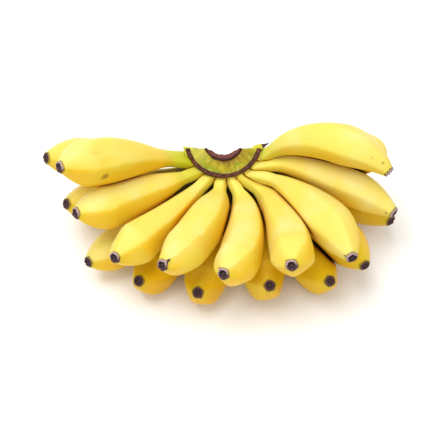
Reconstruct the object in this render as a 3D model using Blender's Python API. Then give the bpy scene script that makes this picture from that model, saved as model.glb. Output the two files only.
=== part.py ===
"""A hand of baby bananas: two rows of fingers grown from one cut crown, at rest on its lower row.

The viewer is towards -Y, +X is to the right and +Z is up. Lengths are in millimetres and angles in
degrees until the last step, which turns them into metres.
"""

import math

import bmesh
import bpy
import numpy as np

MM = 0.001

# The crown is a crescent cut from the plant's stem: an arc of cushion around an axis that rises
# towards the viewer. Both its ends are cut off by one plane, this far below the axis at the face and
# falling away from it towards the back.
CROWN_HEIGHT = 69.0
CROWN_RISE = 45.0
CROWN_HALF_ARC = 85.0
CROWN_STEPS = 30
ENDS_BELOW = 6.2
ENDS_TILT = 12.0
CUT_RADIUS = 14.5
RIM_RADIUS = 28.6
CROWN_DEPTH = 28.0

# Each finger is joined to the crown by a root, and starts at the root's flat end.
SEAT_RADIUS = 33.0
ROOT_RADIUS = 24.0
SEAT_GAP = 0.35
ROOT_SETBACK = 0.8
UPPER_BACK = 6.0
LOWER_BACK = 19.0

# A finger is a round tube with five soft ridges, thin at the neck and at the dried flower end.
UPPER_NECK_RADIUS = 5.2
LOWER_NECK_RADIUS = 6.5
FLOWER_END_RADIUS = 4.7
FLOWER_END_LENGTH = 2.4
TAPER_POWER = 1.8
RIDGES = 5
RIDGE_SHARPNESS = 0.36
RIDGE_REACH = 1.05
LOBE_DEPTH = 0.10
SIDES = 15
RING_PLACES = (0.0, 0.05, 0.10, 0.16, 0.23, 0.31, 0.40, 0.50, 0.60, 0.70, 0.79, 0.87, 0.935, 0.98, 1.0)
ROOT_RINGS = 3

# Where fingers lie against each other both are pressed flat, with this much between them.
PRESS_GAP = 0.7
LEAST_SHARE = 0.35
CURVE_STEPS = 100
FIELD_STEPS = 50

# The stunted finger is a stub at the crown's right end with a dry black point.
STUNTED_SLOT = 72.0
STUNTED_BACK = 3.5
STUNTED_RADII = (3.2, 3.0, 2.6, 1.9, 1.0, 0.6)
STUNTED_LENGTH = 12.5
STUNTED_HEADING = 108.0
STUNTED_RISE = 20.0

# name: slot on the crown, tip (x, y from the crown's centre, z from the ground), way it leaves the
# crown and way its tip points (heading from the viewer to the right, rise), share of the whole bend
# in the neck and near the tip, neck length and shoulder length as shares of the finger and fullness,
# greatest radius, where the taper to the flower end starts, turn of the ridges about the finger
UPPER_ROW = {
    "upper_1": (-58, (-117, -56, 109), (-73, 28), (-56, 19), (0.22, 0.05), (0.15, 0.52, 1.3), 17.6, 0.80, 10),
    "upper_2": (-41, (-108, -72, 75), (-51, 7), (-53, 22), (0.05, 0.60), (0.12, 0.72, 2.0), 17.6, 0.76, 55),
    "upper_3": (-24, (-79, -104, 65), (-35, -4), (-36, 24), (0.34, 0.60), (0.09, 0.71, 1.0), 16.9, 0.76, 44),
    "upper_4": (-6, (-44, -115, 72), (-4, 0), (-39, 30), (0.40, 0.32), (0.07, 0.47, 2.5), 16.8, 0.74, 5),
    "upper_5": (11, (-1, -123, 73), (23, -12), (-37, 37), (0.35, 0.10), (0.08, 0.57, 3.0), 15.9, 0.80, 15),
    "upper_6": (25, (47, -117, 75), (53, -16), (-24, 37), (0.53, 0.05), (0.11, 0.72, 2.8), 16.0, 0.84, 16),
    "upper_7": (36, (90, -108, 72), (66, 6), (10, 11), (0.38, 0.05), (0.16, 0.68, 1.8), 17.6, 0.64, 20),
    "upper_8": (51, (126, -57, 55), (84, 14), (40, -1), (0.45, 0.05), (0.10, 0.72, 1.2), 16.3, 0.60, 55),
    "upper_9": (68, (120, -43, 87), (96, 47), (51, -14), (0.05, 0.05), (0.07, 0.72, 1.8), 16.5, 0.60, 13),
}
LOWER_ROW = {
    "lower_1": (-60, (-134, -22, 76), (-86, 4), (-61, 25), (0.42, 0.19), (0.12, 0.58, 1.2), 15.8, 0.76, 14),
    "lower_2": (-47, (-122, -38, 39), (-82, -34), (-52, 41), (0.33, 0.10), (0.10, 0.42, 1.7), 16.1, 0.80, 35),
    "lower_3": (-36, (-103, -84, 28), (-45, -20), (-48, 21), (0.09, 0.33), (0.11, 0.53, 1.3), 15.8, 0.80, 60),
    "lower_4": (-18, (-64, -103, 31), (-27, -53), (-32, 49), (0.44, 0.40), (0.02, 0.34, 2.0), 16.7, 0.76, 0),
    "lower_5": (1, (-20, -113, 31), (-1, -56), (-20, 50), (0.49, 0.40), (0.02, 0.34, 2.0), 16.7, 0.76, 0),
    "lower_6": (20, (33, -109, 34), (13, -56), (12, 58), (0.41, 0.40), (0.02, 0.34, 2.0), 16.7, 0.76, 0),
    "lower_7": (36, (78, -103, 31), (39, -50), (23, 49), (0.36, 0.40), (0.02, 0.34, 2.0), 16.7, 0.76, 0),
    "lower_8": (46, (104, -92, 36), (56, -16), (27, 11), (0.33, 0.30), (0.04, 0.44, 1.8), 16.7, 0.76, 52),
    "lower_9": (55, (129, -43, 24), (87, -25), (36, 14), (0.28, 0.24), (0.10, 0.43, 1.7), 15.8, 0.72, 67),
    "lower_10": (64, (118, -25, 77), (114, -5), (31, 27), (0.46, 0.30), (0.10, 0.42, 1.7), 16.7, 0.76, 6),
}

UPPER_YELLOW = (0.86, 0.66, 0.13, 1.0)
LOWER_YELLOW = (0.76, 0.48, 0.06, 1.0)
CROWN_GREEN = (0.42, 0.40, 0.09, 1.0)


def clear_scene():
    for thing in list(bpy.data.objects):
        bpy.data.objects.remove(thing, do_unlink=True)


def skin_material(name, colour, roughness):
    material = bpy.data.materials.new(name)
    material.use_nodes = True
    shader = material.node_tree.nodes["Principled BSDF"]
    shader.inputs["Base Color"].default_value = colour
    shader.inputs["Roughness"].default_value = roughness
    shader.inputs["Metallic"].default_value = 0.0
    material.diffuse_color = colour
    return material


def unit(vector):
    return vector / np.linalg.norm(vector)


def direction(heading, rise):
    """The way that points this far round from the viewer to the right, and this far up."""
    turn, lift = math.radians(heading), math.radians(rise)
    return np.array([math.sin(turn) * math.cos(lift), -math.cos(turn) * math.cos(lift), math.sin(lift)])


CROWN_CENTRE = np.array([0.0, 0.0, CROWN_HEIGHT])
CROWN_AXIS = direction(0.0, CROWN_RISE)
CROWN_DOWN = direction(0.0, CROWN_RISE - 90.0)
CROWN_RIGHT = np.array([1.0, 0.0, 0.0])


def crown_outward(slot):
    angle = math.radians(slot)
    return math.sin(angle) * CROWN_RIGHT + math.cos(angle) * CROWN_DOWN


def crown_point(slot, radius, back):
    return CROWN_CENTRE + radius * crown_outward(slot) - back * CROWN_AXIS


def bend_so_far(neck_share, tip_share):
    """The part of a finger's whole bend that is behind each of its steps: most near the neck and tip."""
    place = np.linspace(0.0, 1.0, CURVE_STEPS + 1)

    def bump(centre, half_width):
        height = np.clip(1.0 - ((place - centre) / half_width) ** 2, 0.0, None) ** 2
        return height / height.sum()

    even = np.clip((place - 0.05) / 0.1, 0.0, 1.0) * np.clip((1.0 - place) / 0.05, 0.0, 1.0)
    even = even / even.sum()
    bend = neck_share * bump(0.17, 0.15) + tip_share * bump(0.84, 0.16)
    bend = bend + (1.0 - neck_share - tip_share) * even
    return np.cumsum(bend) / bend.sum()


def turned_onto(points, start, end):
    """The points turned by the least turn that brings the way start onto the way end."""
    axis = np.cross(start, end)
    sine, cosine = np.linalg.norm(axis), float(start @ end)
    if sine < 1e-9:
        return points
    x, y, z = axis / sine
    cross = np.array([[0.0, -z, y], [z, 0.0, -x], [-y, x, 0.0]])
    turn = np.eye(3) + sine * cross + (1.0 - cosine) * cross @ cross
    return points @ turn.T


class Tube:
    """The middle line of a finger with its root, and its round radius and frame at each step."""

    def __init__(self, row_back, neck_radius, plan):
        self.neck_radius = neck_radius
        slot, tip, leaves, ends, (neck_share, tip_share) = plan[:5]
        self.shoulder, self.body_radius, self.taper_start, turn = plan[5:]
        self.roll = math.radians(turn)
        seat = crown_point(slot, SEAT_RADIUS, row_back)
        tip = np.array(tip, float)
        first, last = direction(*leaves), direction(*ends)
        bend = bend_so_far(neck_share, tip_share)
        whole = math.acos(float(first @ last))
        ways = np.outer(np.sin((1.0 - bend) * whole), first) + np.outer(np.sin(bend * whole), last)
        ways = ways / math.sin(whole)
        steps = (ways[1:] + ways[:-1]) / (2.0 * CURVE_STEPS)
        line = np.concatenate([np.zeros((1, 3)), np.cumsum(steps, axis=0)])
        start, end = unit(line[-1]), unit(tip - seat)
        self.length = np.linalg.norm(tip - seat) / np.linalg.norm(line[-1])
        self.line = seat + self.length * turned_onto(line, start, end)
        self.ways = turned_onto(ways, start, end)
        self.side = unit(np.cross(self.ways[0], self.ways[-1]))
        self.root_line = self.root_curve(slot, row_back, seat)

    def root_curve(self, slot, row_back, seat):
        """A short curve from inside the crown to the seat, which it reaches along the finger."""
        inside = crown_point(slot, ROOT_RADIUS, row_back)
        pull = (SEAT_RADIUS - ROOT_RADIUS) / 2.5
        handles = inside + pull * crown_outward(slot), seat - pull * self.ways[0]
        t = np.linspace(0.0, 1.0, 7)[:, None]
        return (
            (1 - t) ** 3 * inside
            + 3 * (1 - t) ** 2 * t * handles[0]
            + 3 * (1 - t) * t**2 * handles[1]
            + t**3 * seat
        )

    def radius(self, place):
        """The round radius at a place from 0 at the seat to 1 at the flower end."""
        neck, span, fullness = self.shoulder
        t = np.clip((np.asarray(place, float) - neck) / span, 0.0, 1.0)
        t = 1.03 * t * t / (t + 0.03)
        body = self.neck_radius + (self.body_radius - self.neck_radius) * (1.0 - (1.0 - t) ** fullness)
        end = np.clip((place - self.taper_start) / (1.0 - self.taper_start), 0.0, 1.0)
        return body * (1.0 - (1.0 - FLOWER_END_RADIUS / self.body_radius) * end**TAPER_POWER)

    def field(self):
        """Points along root and finger, with the radius round each, for measuring how near they are."""
        place = np.linspace(0.0, 1.0, FIELD_STEPS + 1)
        index = np.round(place * CURVE_STEPS).astype(int)
        points = np.concatenate([self.root_line, self.line[index]])
        radii = np.concatenate([np.full(len(self.root_line), self.neck_radius), self.radius(place)])
        return points, RIDGE_REACH * radii


def ridge_shape(angle):
    """The reach of a soft five-sided outline round a circle of radius 1, at an angle from a flat."""
    side = 2.0 * math.pi / RIDGES
    off = (angle + side / 2.0) % side - side / 2.0
    return RIDGE_REACH * (math.cos(side / 2.0) / math.cos(off)) ** RIDGE_SHARPNESS


def ring_of(centre, way, side, radius, roll, outline):
    """Centre, outward ways and reaches of one ring, counted from the outer side of the bend."""
    inner = np.cross(side, way)
    angles = [(k + 0.5) * 2.0 * math.pi / SIDES for k in range(SIDES)]
    outward = [-math.cos(a + roll) * inner + math.sin(a + roll) * side for a in angles]
    reach = [radius * outline(a) for a in angles]
    return np.repeat(centre[None], SIDES, axis=0), np.array(outward), np.array(reach)


def press(rings, own_name, fields):
    """Draws each point in along its own ray until it is no nearer a neighbour's skin than its own."""
    centres, outward, reach = (np.concatenate(part) for part in zip(*rings))
    others = [field for name, field in fields.items() if name != own_name]
    points = np.concatenate([p for p, _ in others])
    radii = np.concatenate([r for _, r in others])

    def clear_of_all(share):
        skin = centres + outward * (reach * share)[:, None]
        away = np.linalg.norm(skin[:, None] - points[None], axis=2) - radii[None]
        own = reach * (share - 1.0)
        return (away.min(axis=1) - own >= PRESS_GAP) & (skin[:, 2] >= 0.0)

    low, high = np.full(len(reach), LEAST_SHARE), np.ones(len(reach))
    low = np.where(clear_of_all(high), high, low)
    for _ in range(24):
        middle = (low + high) / 2.0
        clear = clear_of_all(middle)
        low, high = np.where(clear, middle, low), np.where(clear, high, middle)
    skin = centres + outward * (reach * low)[:, None]
    grounded = np.abs(skin[:, 2]) < 0.005
    skin[grounded, 2] = 0.0
    return skin.reshape(len(rings), SIDES, 3)


def straight_tube(ring_count):
    """A closed tube of unit rings one unit apart, to be bent onto a finger's rings."""
    bm = bmesh.new()
    bmesh.ops.create_circle(bm, cap_ends=True, radius=1.0, segments=SIDES)
    edges = bm.edges[:]
    for _ in range(ring_count - 1):
        grown = bmesh.ops.extrude_edge_only(bm, edges=edges)["geom"]
        edges = [part for part in grown if isinstance(part, bmesh.types.BMEdge)]
        edges = [edge for edge in edges if len(edge.link_faces) < 2]
        verts = list({vert for edge in edges for vert in edge.verts})
        bmesh.ops.translate(bm, verts=verts, vec=(0.0, 0.0, 1.0))
    bmesh.ops.contextual_create(bm, geom=edges)
    return bm


def face_outwards(bm):
    bmesh.ops.recalc_face_normals(bm, faces=bm.faces)
    if bm.calc_volume(signed=True) < 0.0:
        bmesh.ops.reverse_faces(bm, faces=bm.faces)


def bent_tube(name, rings):
    """An object whose rings are the given ones, in millimetres from the ground."""
    bm = straight_tube(len(rings))
    for vert in bm.verts:
        row = round(vert.co.z)
        column = round(math.atan2(vert.co.y, vert.co.x) / (2.0 * math.pi) * SIDES) % SIDES
        vert.co = rings[row][column] * MM
    face_outwards(bm)
    mesh = bpy.data.meshes.new(name)
    bm.to_mesh(mesh)
    bm.free()
    mesh.shade_smooth()
    thing = bpy.data.objects.new(name, mesh)
    bpy.context.collection.objects.link(thing)
    return thing


def finger(name, tube, fields, material):
    """One finger from the seat's gap to the end of its dried flower stub."""
    rings = []
    for place in RING_PLACES:
        step = round(place * CURVE_STEPS)
        centre = tube.line[step] + (SEAT_GAP * tube.ways[0] if place == 0.0 else 0.0)
        rings.append(ring_of(centre, tube.ways[step], tube.side, tube.radius(place), tube.roll, ridge_shape))

    def lobes(angle):
        return 1.0 + LOBE_DEPTH * math.cos(RIDGES * angle + math.pi)

    end = tube.line[-1] + FLOWER_END_LENGTH * tube.ways[-1]
    rings.append(ring_of(end, tube.ways[-1], tube.side, FLOWER_END_RADIUS * 0.9, tube.roll, lobes))
    thing = bent_tube(name, press(rings, name, fields))
    thing.data.materials.append(material)
    return thing


def root(name, tube, fields):
    """The stump that joins a finger to the crown, pressed by its neighbours as the finger is."""
    rings = []
    for k in range(ROOT_RINGS):
        step = k * (len(tube.root_line) - 1) // (ROOT_RINGS - 1)
        ahead = tube.root_line[min(step + 1, len(tube.root_line) - 1)]
        behind = tube.root_line[max(step - 1, 0)]
        way = tube.ways[0] if k == ROOT_RINGS - 1 else unit(ahead - behind)
        side = unit(tube.side - way * (tube.side @ way))
        rings.append(ring_of(tube.root_line[step], way, side, tube.neck_radius, 0.0, lambda angle: 1.0))
    skin = press(rings, name, fields)
    for k in range(ROOT_RINGS - 1):
        past = (skin[k] - tube.root_line[-1]) @ tube.ways[0] + ROOT_SETBACK * (ROOT_RINGS - 1 - k)
        skin[k] -= np.outer(np.clip(past, 0.0, None), tube.ways[0])
    return bent_tube("root_" + name, skin)


def stunted_field():
    """The middle points and radii of the stub that never filled, at the crown's right end."""
    way = direction(STUNTED_HEADING, STUNTED_RISE)
    start = crown_point(STUNTED_SLOT, ROOT_RADIUS, STUNTED_BACK)
    share = np.linspace(0.0, 1.0, len(STUNTED_RADII))
    return start + way * STUNTED_LENGTH * share[:, None], np.array(STUNTED_RADII)


def stunted_finger():
    way = direction(STUNTED_HEADING, STUNTED_RISE)
    side = unit(np.cross(way, CROWN_AXIS))
    rings = []
    for centre, radius in zip(*stunted_field()):
        rings.append(ring_of(centre, way, side, radius, 0.0, lambda angle: 1.0))
    return bent_tube("stunted", [centre + outward * reach[:, None] for centre, outward, reach in rings])


def crown_cushion():
    """The crescent: its section, drawn at one end of the arc, is spun round the crown's axis."""
    section = (
        (CUT_RADIUS, -1.2),
        (CUT_RADIUS + 6.0, -0.4),
        (RIM_RADIUS - 2.6, 0.0),
        (RIM_RADIUS - 1.2, 1.0),
        (RIM_RADIUS, 0.4),
        (RIM_RADIUS - 0.1, -1.6),
        (RIM_RADIUS - 0.9, -5.0),
        (RIM_RADIUS - 0.9, -21.0),
        (RIM_RADIUS - 2.4, -26.5),
        (RIM_RADIUS - 8.0, -CROWN_DEPTH),
        (CUT_RADIUS + 0.6, -CROWN_DEPTH + 1.0),
        (CUT_RADIUS - 1.0, -14.0),
    )
    bm = bmesh.new()
    verts = [bm.verts.new(crown_point(-CROWN_HALF_ARC, r, -a) * MM) for r, a in section]
    outline = [bm.edges.new((verts[k - 1], verts[k])) for k in range(len(verts))]
    spun = bmesh.ops.spin(
        bm,
        geom=verts + outline,
        cent=CROWN_CENTRE * MM,
        axis=CROWN_AXIS,
        angle=math.radians(2.0 * CROWN_HALF_ARC),
        steps=CROWN_STEPS,
    )
    last = [part for part in spun["geom_last"] if isinstance(part, bmesh.types.BMEdge)]
    bmesh.ops.contextual_create(bm, geom=outline)
    bmesh.ops.contextual_create(bm, geom=last)
    face_outwards(bm)
    bmesh.ops.bisect_plane(
        bm,
        geom=bm.verts[:] + bm.edges[:] + bm.faces[:],
        plane_co=(CROWN_CENTRE + ENDS_BELOW * CROWN_DOWN) * MM,
        plane_no=direction(180.0, 90.0 - CROWN_RISE - ENDS_TILT),
        clear_outer=True,
    )
    bmesh.ops.holes_fill(bm, edges=[edge for edge in bm.edges if len(edge.link_faces) == 1])
    face_outwards(bm)
    mesh = bpy.data.meshes.new("crown")
    bm.to_mesh(mesh)
    bm.free()
    thing = bpy.data.objects.new("crown", mesh)
    bpy.context.collection.objects.link(thing)
    return thing


def joined(base, parts):
    """Fuses the parts into the base with one Boolean union, and removes them."""
    group = bpy.data.collections.new("joined parts")
    bpy.context.scene.collection.children.link(group)
    for part in parts:
        bpy.context.collection.objects.unlink(part)
        group.objects.link(part)
    union = base.modifiers.new("union", "BOOLEAN")
    union.operation = "UNION"
    union.solver = "EXACT"
    union.operand_type = "COLLECTION"
    union.collection = group
    bpy.context.view_layer.update()
    graph = bpy.context.evaluated_depsgraph_get()
    mesh = bpy.data.meshes.new_from_object(base.evaluated_get(graph))
    base.modifiers.clear()
    base.data = mesh
    for part in parts:
        bpy.data.objects.remove(part, do_unlink=True)
    bpy.data.collections.remove(group)


def stand_on_origin():
    """Moves every mesh so that the origin is at the bottom centre of the whole hand's box."""
    meshes = [thing.data for thing in bpy.data.objects]
    corners = np.array([vert.co[:] for mesh in meshes for vert in mesh.vertices])
    low, high = corners.min(axis=0), corners.max(axis=0)
    shift = -np.array([(low[0] + high[0]) / 2.0, (low[1] + high[1]) / 2.0, low[2]])
    for mesh in meshes:
        for vert in mesh.vertices:
            vert.co = np.array(vert.co) + shift
        mesh.update()
    print("shift in mm", (shift / MM).round(2))


def main():
    clear_scene()
    tubes = {name: Tube(UPPER_BACK, UPPER_NECK_RADIUS, plan) for name, plan in UPPER_ROW.items()}
    lower = {name: Tube(LOWER_BACK, LOWER_NECK_RADIUS, plan) for name, plan in LOWER_ROW.items()}
    tubes.update(lower)
    fields = {name: tube.field() for name, tube in tubes.items()}
    fields["stunted"] = stunted_field()
    for name, tube in tubes.items():
        colour = UPPER_YELLOW if name in UPPER_ROW else LOWER_YELLOW
        finger(name, tube, fields, skin_material(name, colour, 0.5))
    crown = crown_cushion()
    joined(crown, [root(name, tube, fields) for name, tube in tubes.items()] + [stunted_finger()])
    crown.data.materials.clear()
    crown.data.materials.append(skin_material("crown", CROWN_GREEN, 0.7))
    stand_on_origin()


main()
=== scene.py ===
# %% [markdown]
# # A hand of baby bananas
#
# A hand is one cluster of bananas as it grew: two curved rows of fingers on a crown, which was cut from
# the plant's stem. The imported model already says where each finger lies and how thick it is. This
# script grows finer pieces over it by the same rule, then gives every surface its finish.

# %% Load the frame
import math

import bmesh
import bpy
import numpy as np
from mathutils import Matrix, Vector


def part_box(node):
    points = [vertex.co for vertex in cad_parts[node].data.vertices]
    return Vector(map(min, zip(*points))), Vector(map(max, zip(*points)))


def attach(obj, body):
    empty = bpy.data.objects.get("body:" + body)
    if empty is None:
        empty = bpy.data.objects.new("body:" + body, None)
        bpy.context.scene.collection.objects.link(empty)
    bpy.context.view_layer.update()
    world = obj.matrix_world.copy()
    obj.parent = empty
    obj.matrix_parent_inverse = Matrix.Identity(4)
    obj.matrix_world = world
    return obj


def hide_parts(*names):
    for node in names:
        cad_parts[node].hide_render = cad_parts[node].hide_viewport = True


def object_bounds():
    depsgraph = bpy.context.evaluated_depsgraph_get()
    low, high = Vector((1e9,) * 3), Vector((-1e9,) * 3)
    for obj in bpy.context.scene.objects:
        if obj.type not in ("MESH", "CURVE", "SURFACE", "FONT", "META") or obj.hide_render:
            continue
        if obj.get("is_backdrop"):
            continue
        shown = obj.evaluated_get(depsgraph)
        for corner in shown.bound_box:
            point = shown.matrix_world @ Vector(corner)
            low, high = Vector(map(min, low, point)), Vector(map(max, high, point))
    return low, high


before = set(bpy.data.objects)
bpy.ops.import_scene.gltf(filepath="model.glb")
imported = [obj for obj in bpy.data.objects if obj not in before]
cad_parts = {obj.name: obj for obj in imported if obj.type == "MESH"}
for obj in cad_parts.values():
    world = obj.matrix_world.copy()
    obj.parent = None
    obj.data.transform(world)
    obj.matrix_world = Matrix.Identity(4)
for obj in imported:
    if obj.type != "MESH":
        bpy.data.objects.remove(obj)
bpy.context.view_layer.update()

MM = 0.001

# %% [markdown]
# ## Directions
#
# The crown is the centre of everything here. Its axis is the way the plant's stem ran, and it leans
# towards the viewer. A heading of 0 points at the viewer, 90 to the viewer's right, and a rise is
# above the level. All lengths are in millimetres until a mesh is written.

# %% Where the crown stands
CROWN_CENTRE = np.array([2.26, 53.42, 69.0])
CROWN_RISE = 45.0


def unit(vector):
    return vector / np.linalg.norm(vector, axis=-1, keepdims=True)


def direction(heading, rise):
    turn, lift = math.radians(heading), math.radians(rise)
    return np.array([math.sin(turn) * math.cos(lift), -math.cos(turn) * math.cos(lift), math.sin(lift)])


CROWN_AXIS = direction(0.0, CROWN_RISE)
CROWN_DOWN = direction(0.0, CROWN_RISE - 90.0)
CROWN_RIGHT = np.array([1.0, 0.0, 0.0])


def crown_outward(slot):
    """The way out from the crown's axis, at an angle from its lowest point towards the right."""
    angle = math.radians(slot)
    return math.sin(angle) * CROWN_RIGHT + math.cos(angle) * CROWN_DOWN


def crown_point(slot, radius, back):
    return CROWN_CENTRE + radius * crown_outward(slot) - back * CROWN_AXIS


print("crown's axis", CROWN_AXIS.round(3))

# %% [markdown]
# ## Camera
#
# The photograph looks down at about 55 degrees. One of its pixels is 0.77 mm at the crown, and the
# crown's centre falls on pixel (225, 141) of 447. A camera 850 mm away with the lens that gives this
# scale is then moved sideways and up until the crown falls on that pixel, so nothing is shifted.

# %% Camera
FRAME_PIXELS = 447
PIXEL_MM = 0.77
CAMERA_ELEVATION = 55.3
CAMERA_DISTANCE = 850.0
CROWN_PIXEL = (225.0, 141.0)

camera_data = bpy.data.cameras.new("camera")
camera_data.sensor_width = 36.0
camera_data.lens = camera_data.sensor_width * CAMERA_DISTANCE / (PIXEL_MM * FRAME_PIXELS)
camera = bpy.data.objects.new("camera", camera_data)
bpy.context.scene.collection.objects.link(camera)
towards_camera = direction(0.0, CAMERA_ELEVATION)
picture_down = direction(0.0, CAMERA_ELEVATION - 90.0)
right_of_middle = (CROWN_PIXEL[0] - FRAME_PIXELS / 2) * PIXEL_MM
below_middle = (CROWN_PIXEL[1] - FRAME_PIXELS / 2) * PIXEL_MM
aim = CROWN_CENTRE - right_of_middle * CROWN_RIGHT - below_middle * picture_down
camera.location = (aim + CAMERA_DISTANCE * towards_camera) * MM
camera.rotation_euler = (math.radians(90.0 - CAMERA_ELEVATION), 0.0, 0.0)
bpy.context.scene.camera = camera
print("lens in mm", round(camera_data.lens, 1))

# %% [markdown]
# ## Light and floor
#
# A white sweep under one broad softbox, almost overhead and a little to the left, gives the pale tops
# and the soft shadow of the photograph. A faint, cooler fill from the front right keeps the tips clear.
# The world is the white room that fills the shadows. The Standard view keeps the yellows as strong as
# the peel's own colour.

# %% Lights
scene = bpy.context.scene
scene.view_settings.view_transform = "Standard"


def softbox(name, heading, rise, distance, width, power, colour):
    """A round light that faces the hand, with metres for distance and width and watts for power."""
    data = bpy.data.lights.new(name, "AREA")
    data.shape = "DISK"
    data.size = width
    data.energy = power
    data.color = colour
    light = bpy.data.objects.new(name, data)
    away = direction(heading, rise)
    light.location = away * distance
    light.rotation_euler = (math.radians(90.0 - rise), 0.0, math.radians(heading))
    scene.collection.objects.link(light)


softbox("key_softbox", -100.0, 77.0, 1.3, 1.0, 12.5, (1.0, 0.99, 0.97))
softbox("front_fill", 30.0, 50.0, 1.6, 1.2, 1.6, (0.86, 0.93, 1.0))
print("lights", [light.name for light in bpy.data.lights])

# %% White room and floor
ROOM_BRIGHTNESS = 0.79
FLOOR_SIDE = 8.0

world = bpy.data.worlds.new("white room")
world.use_nodes = True
room = world.node_tree.nodes["Background"]
room.inputs["Color"].default_value = (1.0, 1.0, 1.0, 1.0)
room.inputs["Strength"].default_value = ROOM_BRIGHTNESS
scene.world = world

floor_form = bmesh.new()
bmesh.ops.create_grid(floor_form, x_segments=1, y_segments=1, size=FLOOR_SIDE / 2)
floor_mesh = bpy.data.meshes.new("floor")
floor_form.to_mesh(floor_mesh)
floor_form.free()
floor = bpy.data.objects.new("floor", floor_mesh)
scene.collection.objects.link(floor)
floor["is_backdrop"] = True
print("floor", FLOOR_SIDE, "m across")

# %% [markdown]
# ## Shader maths as Python
#
# Fruit skin is a sum of many faint patterns, so its node tree would be long to write out by hand. A
# Wire stands for one socket of the tree. Adding, subtracting or multiplying Wires adds the Math nodes
# that do it, and node() adds every other kind of node.

# %% Wire
class Wire:
    """An output socket of a finish, with Python's operators for its maths."""

    def __init__(self, finish, socket):
        self.finish, self.socket = finish, socket

    def maths(self, operation, first, second):
        return self.finish.node("ShaderNodeMath", {"operation": operation}, {0: first, 1: second})

    def __add__(self, other):
        return self.maths("ADD", self, other)

    def __sub__(self, other):
        return self.maths("SUBTRACT", self, other)

    def __rsub__(self, other):
        return self.maths("SUBTRACT", other, self)

    def __mul__(self, other):
        return self.maths("MULTIPLY", self, other)

    __radd__ = __add__
    __rmul__ = __mul__


# %% Finish
class Finish:
    """A material whose Principled shader is fed by patterns, with its colour painted in layers."""

    def __init__(self, name, **constants):
        self.colour = None
        self.material = bpy.data.materials.new(name)
        self.material.use_nodes = True
        self.tree = self.material.node_tree
        self.shader = self.tree.nodes["Principled BSDF"]
        for socket, value in constants.items():
            self.shader.inputs[socket.replace("_", " ")].default_value = value

    def node(self, kind, settings, sockets, output=0):
        made = self.tree.nodes.new(kind)
        for name, value in settings.items():
            setattr(made, name, value)
        for key, value in sockets.items():
            if isinstance(value, Wire):
                self.tree.links.new(value.socket, made.inputs[key])
            else:
                made.inputs[key].default_value = value
        return Wire(self, made.outputs[output])

    def attribute(self, name, output="Fac"):
        return self.node("ShaderNodeAttribute", {"attribute_name": name}, {}, output)

    def stretched(self, vector, scale):
        return self.node("ShaderNodeMapping", {}, {"Vector": vector, "Scale": scale})

    def noise(self, vector, scale, detail=2.0, roughness=0.5):
        sockets = {"Vector": vector, "Scale": scale, "Detail": detail, "Roughness": roughness}
        return self.node("ShaderNodeTexNoise", {}, sockets)

    def step(self, value, low, high):
        """0 below low and 1 above high, with a smooth rise between; high may be the smaller."""
        settings = {"interpolation_type": "SMOOTHSTEP"}
        return self.node("ShaderNodeMapRange", settings, {0: value, 1: low, 2: high, 3: 0.0, 4: 1.0})

    def mix(self, share, first, second):
        settings = {"data_type": "RGBA", "clamp_factor": True}
        return self.node("ShaderNodeMix", settings, {0: share, 6: first, 7: second}, 2)

    def paint(self, share, colour):
        """Lays a colour over what is painted so far, by a share from 0 to 1."""
        self.colour = self.mix(share, self.colour, colour)

    def part(self, vector, axis):
        return self.node("ShaderNodeSeparateXYZ", {}, {"Vector": vector}, axis)

    def feed(self, socket, wire):
        self.tree.links.new(wire.socket, self.shader.inputs[socket])

    def close(self, roughness, height, depth_mm):
        """Feeds the painted colour, a roughness and a bump of some depth to the shader."""
        self.feed("Base Color", self.colour)
        self.feed("Roughness", roughness)
        sockets = {"Height": height, "Distance": depth_mm * MM, "Strength": 1.0}
        self.feed("Normal", self.node("ShaderNodeBump", {}, sockets))


def tint(red, green, blue):
    """A colour given as a screen shows it, from 0 to 255, as the shader's own linear colour."""
    share = np.array([red, green, blue]) / 255.0
    linear = np.where(share <= 0.04045, share / 12.92, ((share + 0.055) / 1.055) ** 2.4)
    return (*linear.tolist(), 1.0)


# %% Floor's finish
paper = Finish("white paper", Roughness=0.9)
weave = paper.noise(paper.node("ShaderNodeTexCoord", {}, {}, "Object"), 90.0, 3.0)
paper.feed("Base Color", paper.mix(weave, (0.93, 0.93, 0.93, 1.0), (0.95, 0.95, 0.95, 1.0)))
floor.data.materials.append(paper.material)
print("floor's finish", len(paper.tree.nodes), "nodes")

# %% [markdown]
# ## How a finger grows
#
# Each finger leaves its own slot on the crown, bends mostly in its neck and near its tip, and stays
# in one plane. The table holds what differs between fingers: where the tip is, which way the finger
# leaves and ends, how the bend is shared out, and how quickly the neck swells into the body. These
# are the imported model's own driving values, so each finer finger runs along its plain one.

# %% Fingers
SEAT_RADIUS = 33.0
ROOT_RADIUS = 24.0
UPPER_BACK = 6.0
LOWER_BACK = 19.0
UPPER_NECK_RADIUS = 5.2
LOWER_NECK_RADIUS = 6.5
FLOWER_END_RADIUS = 4.7
TAPER_POWER = 1.8
SHOULDER_EASE = 0.03

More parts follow.
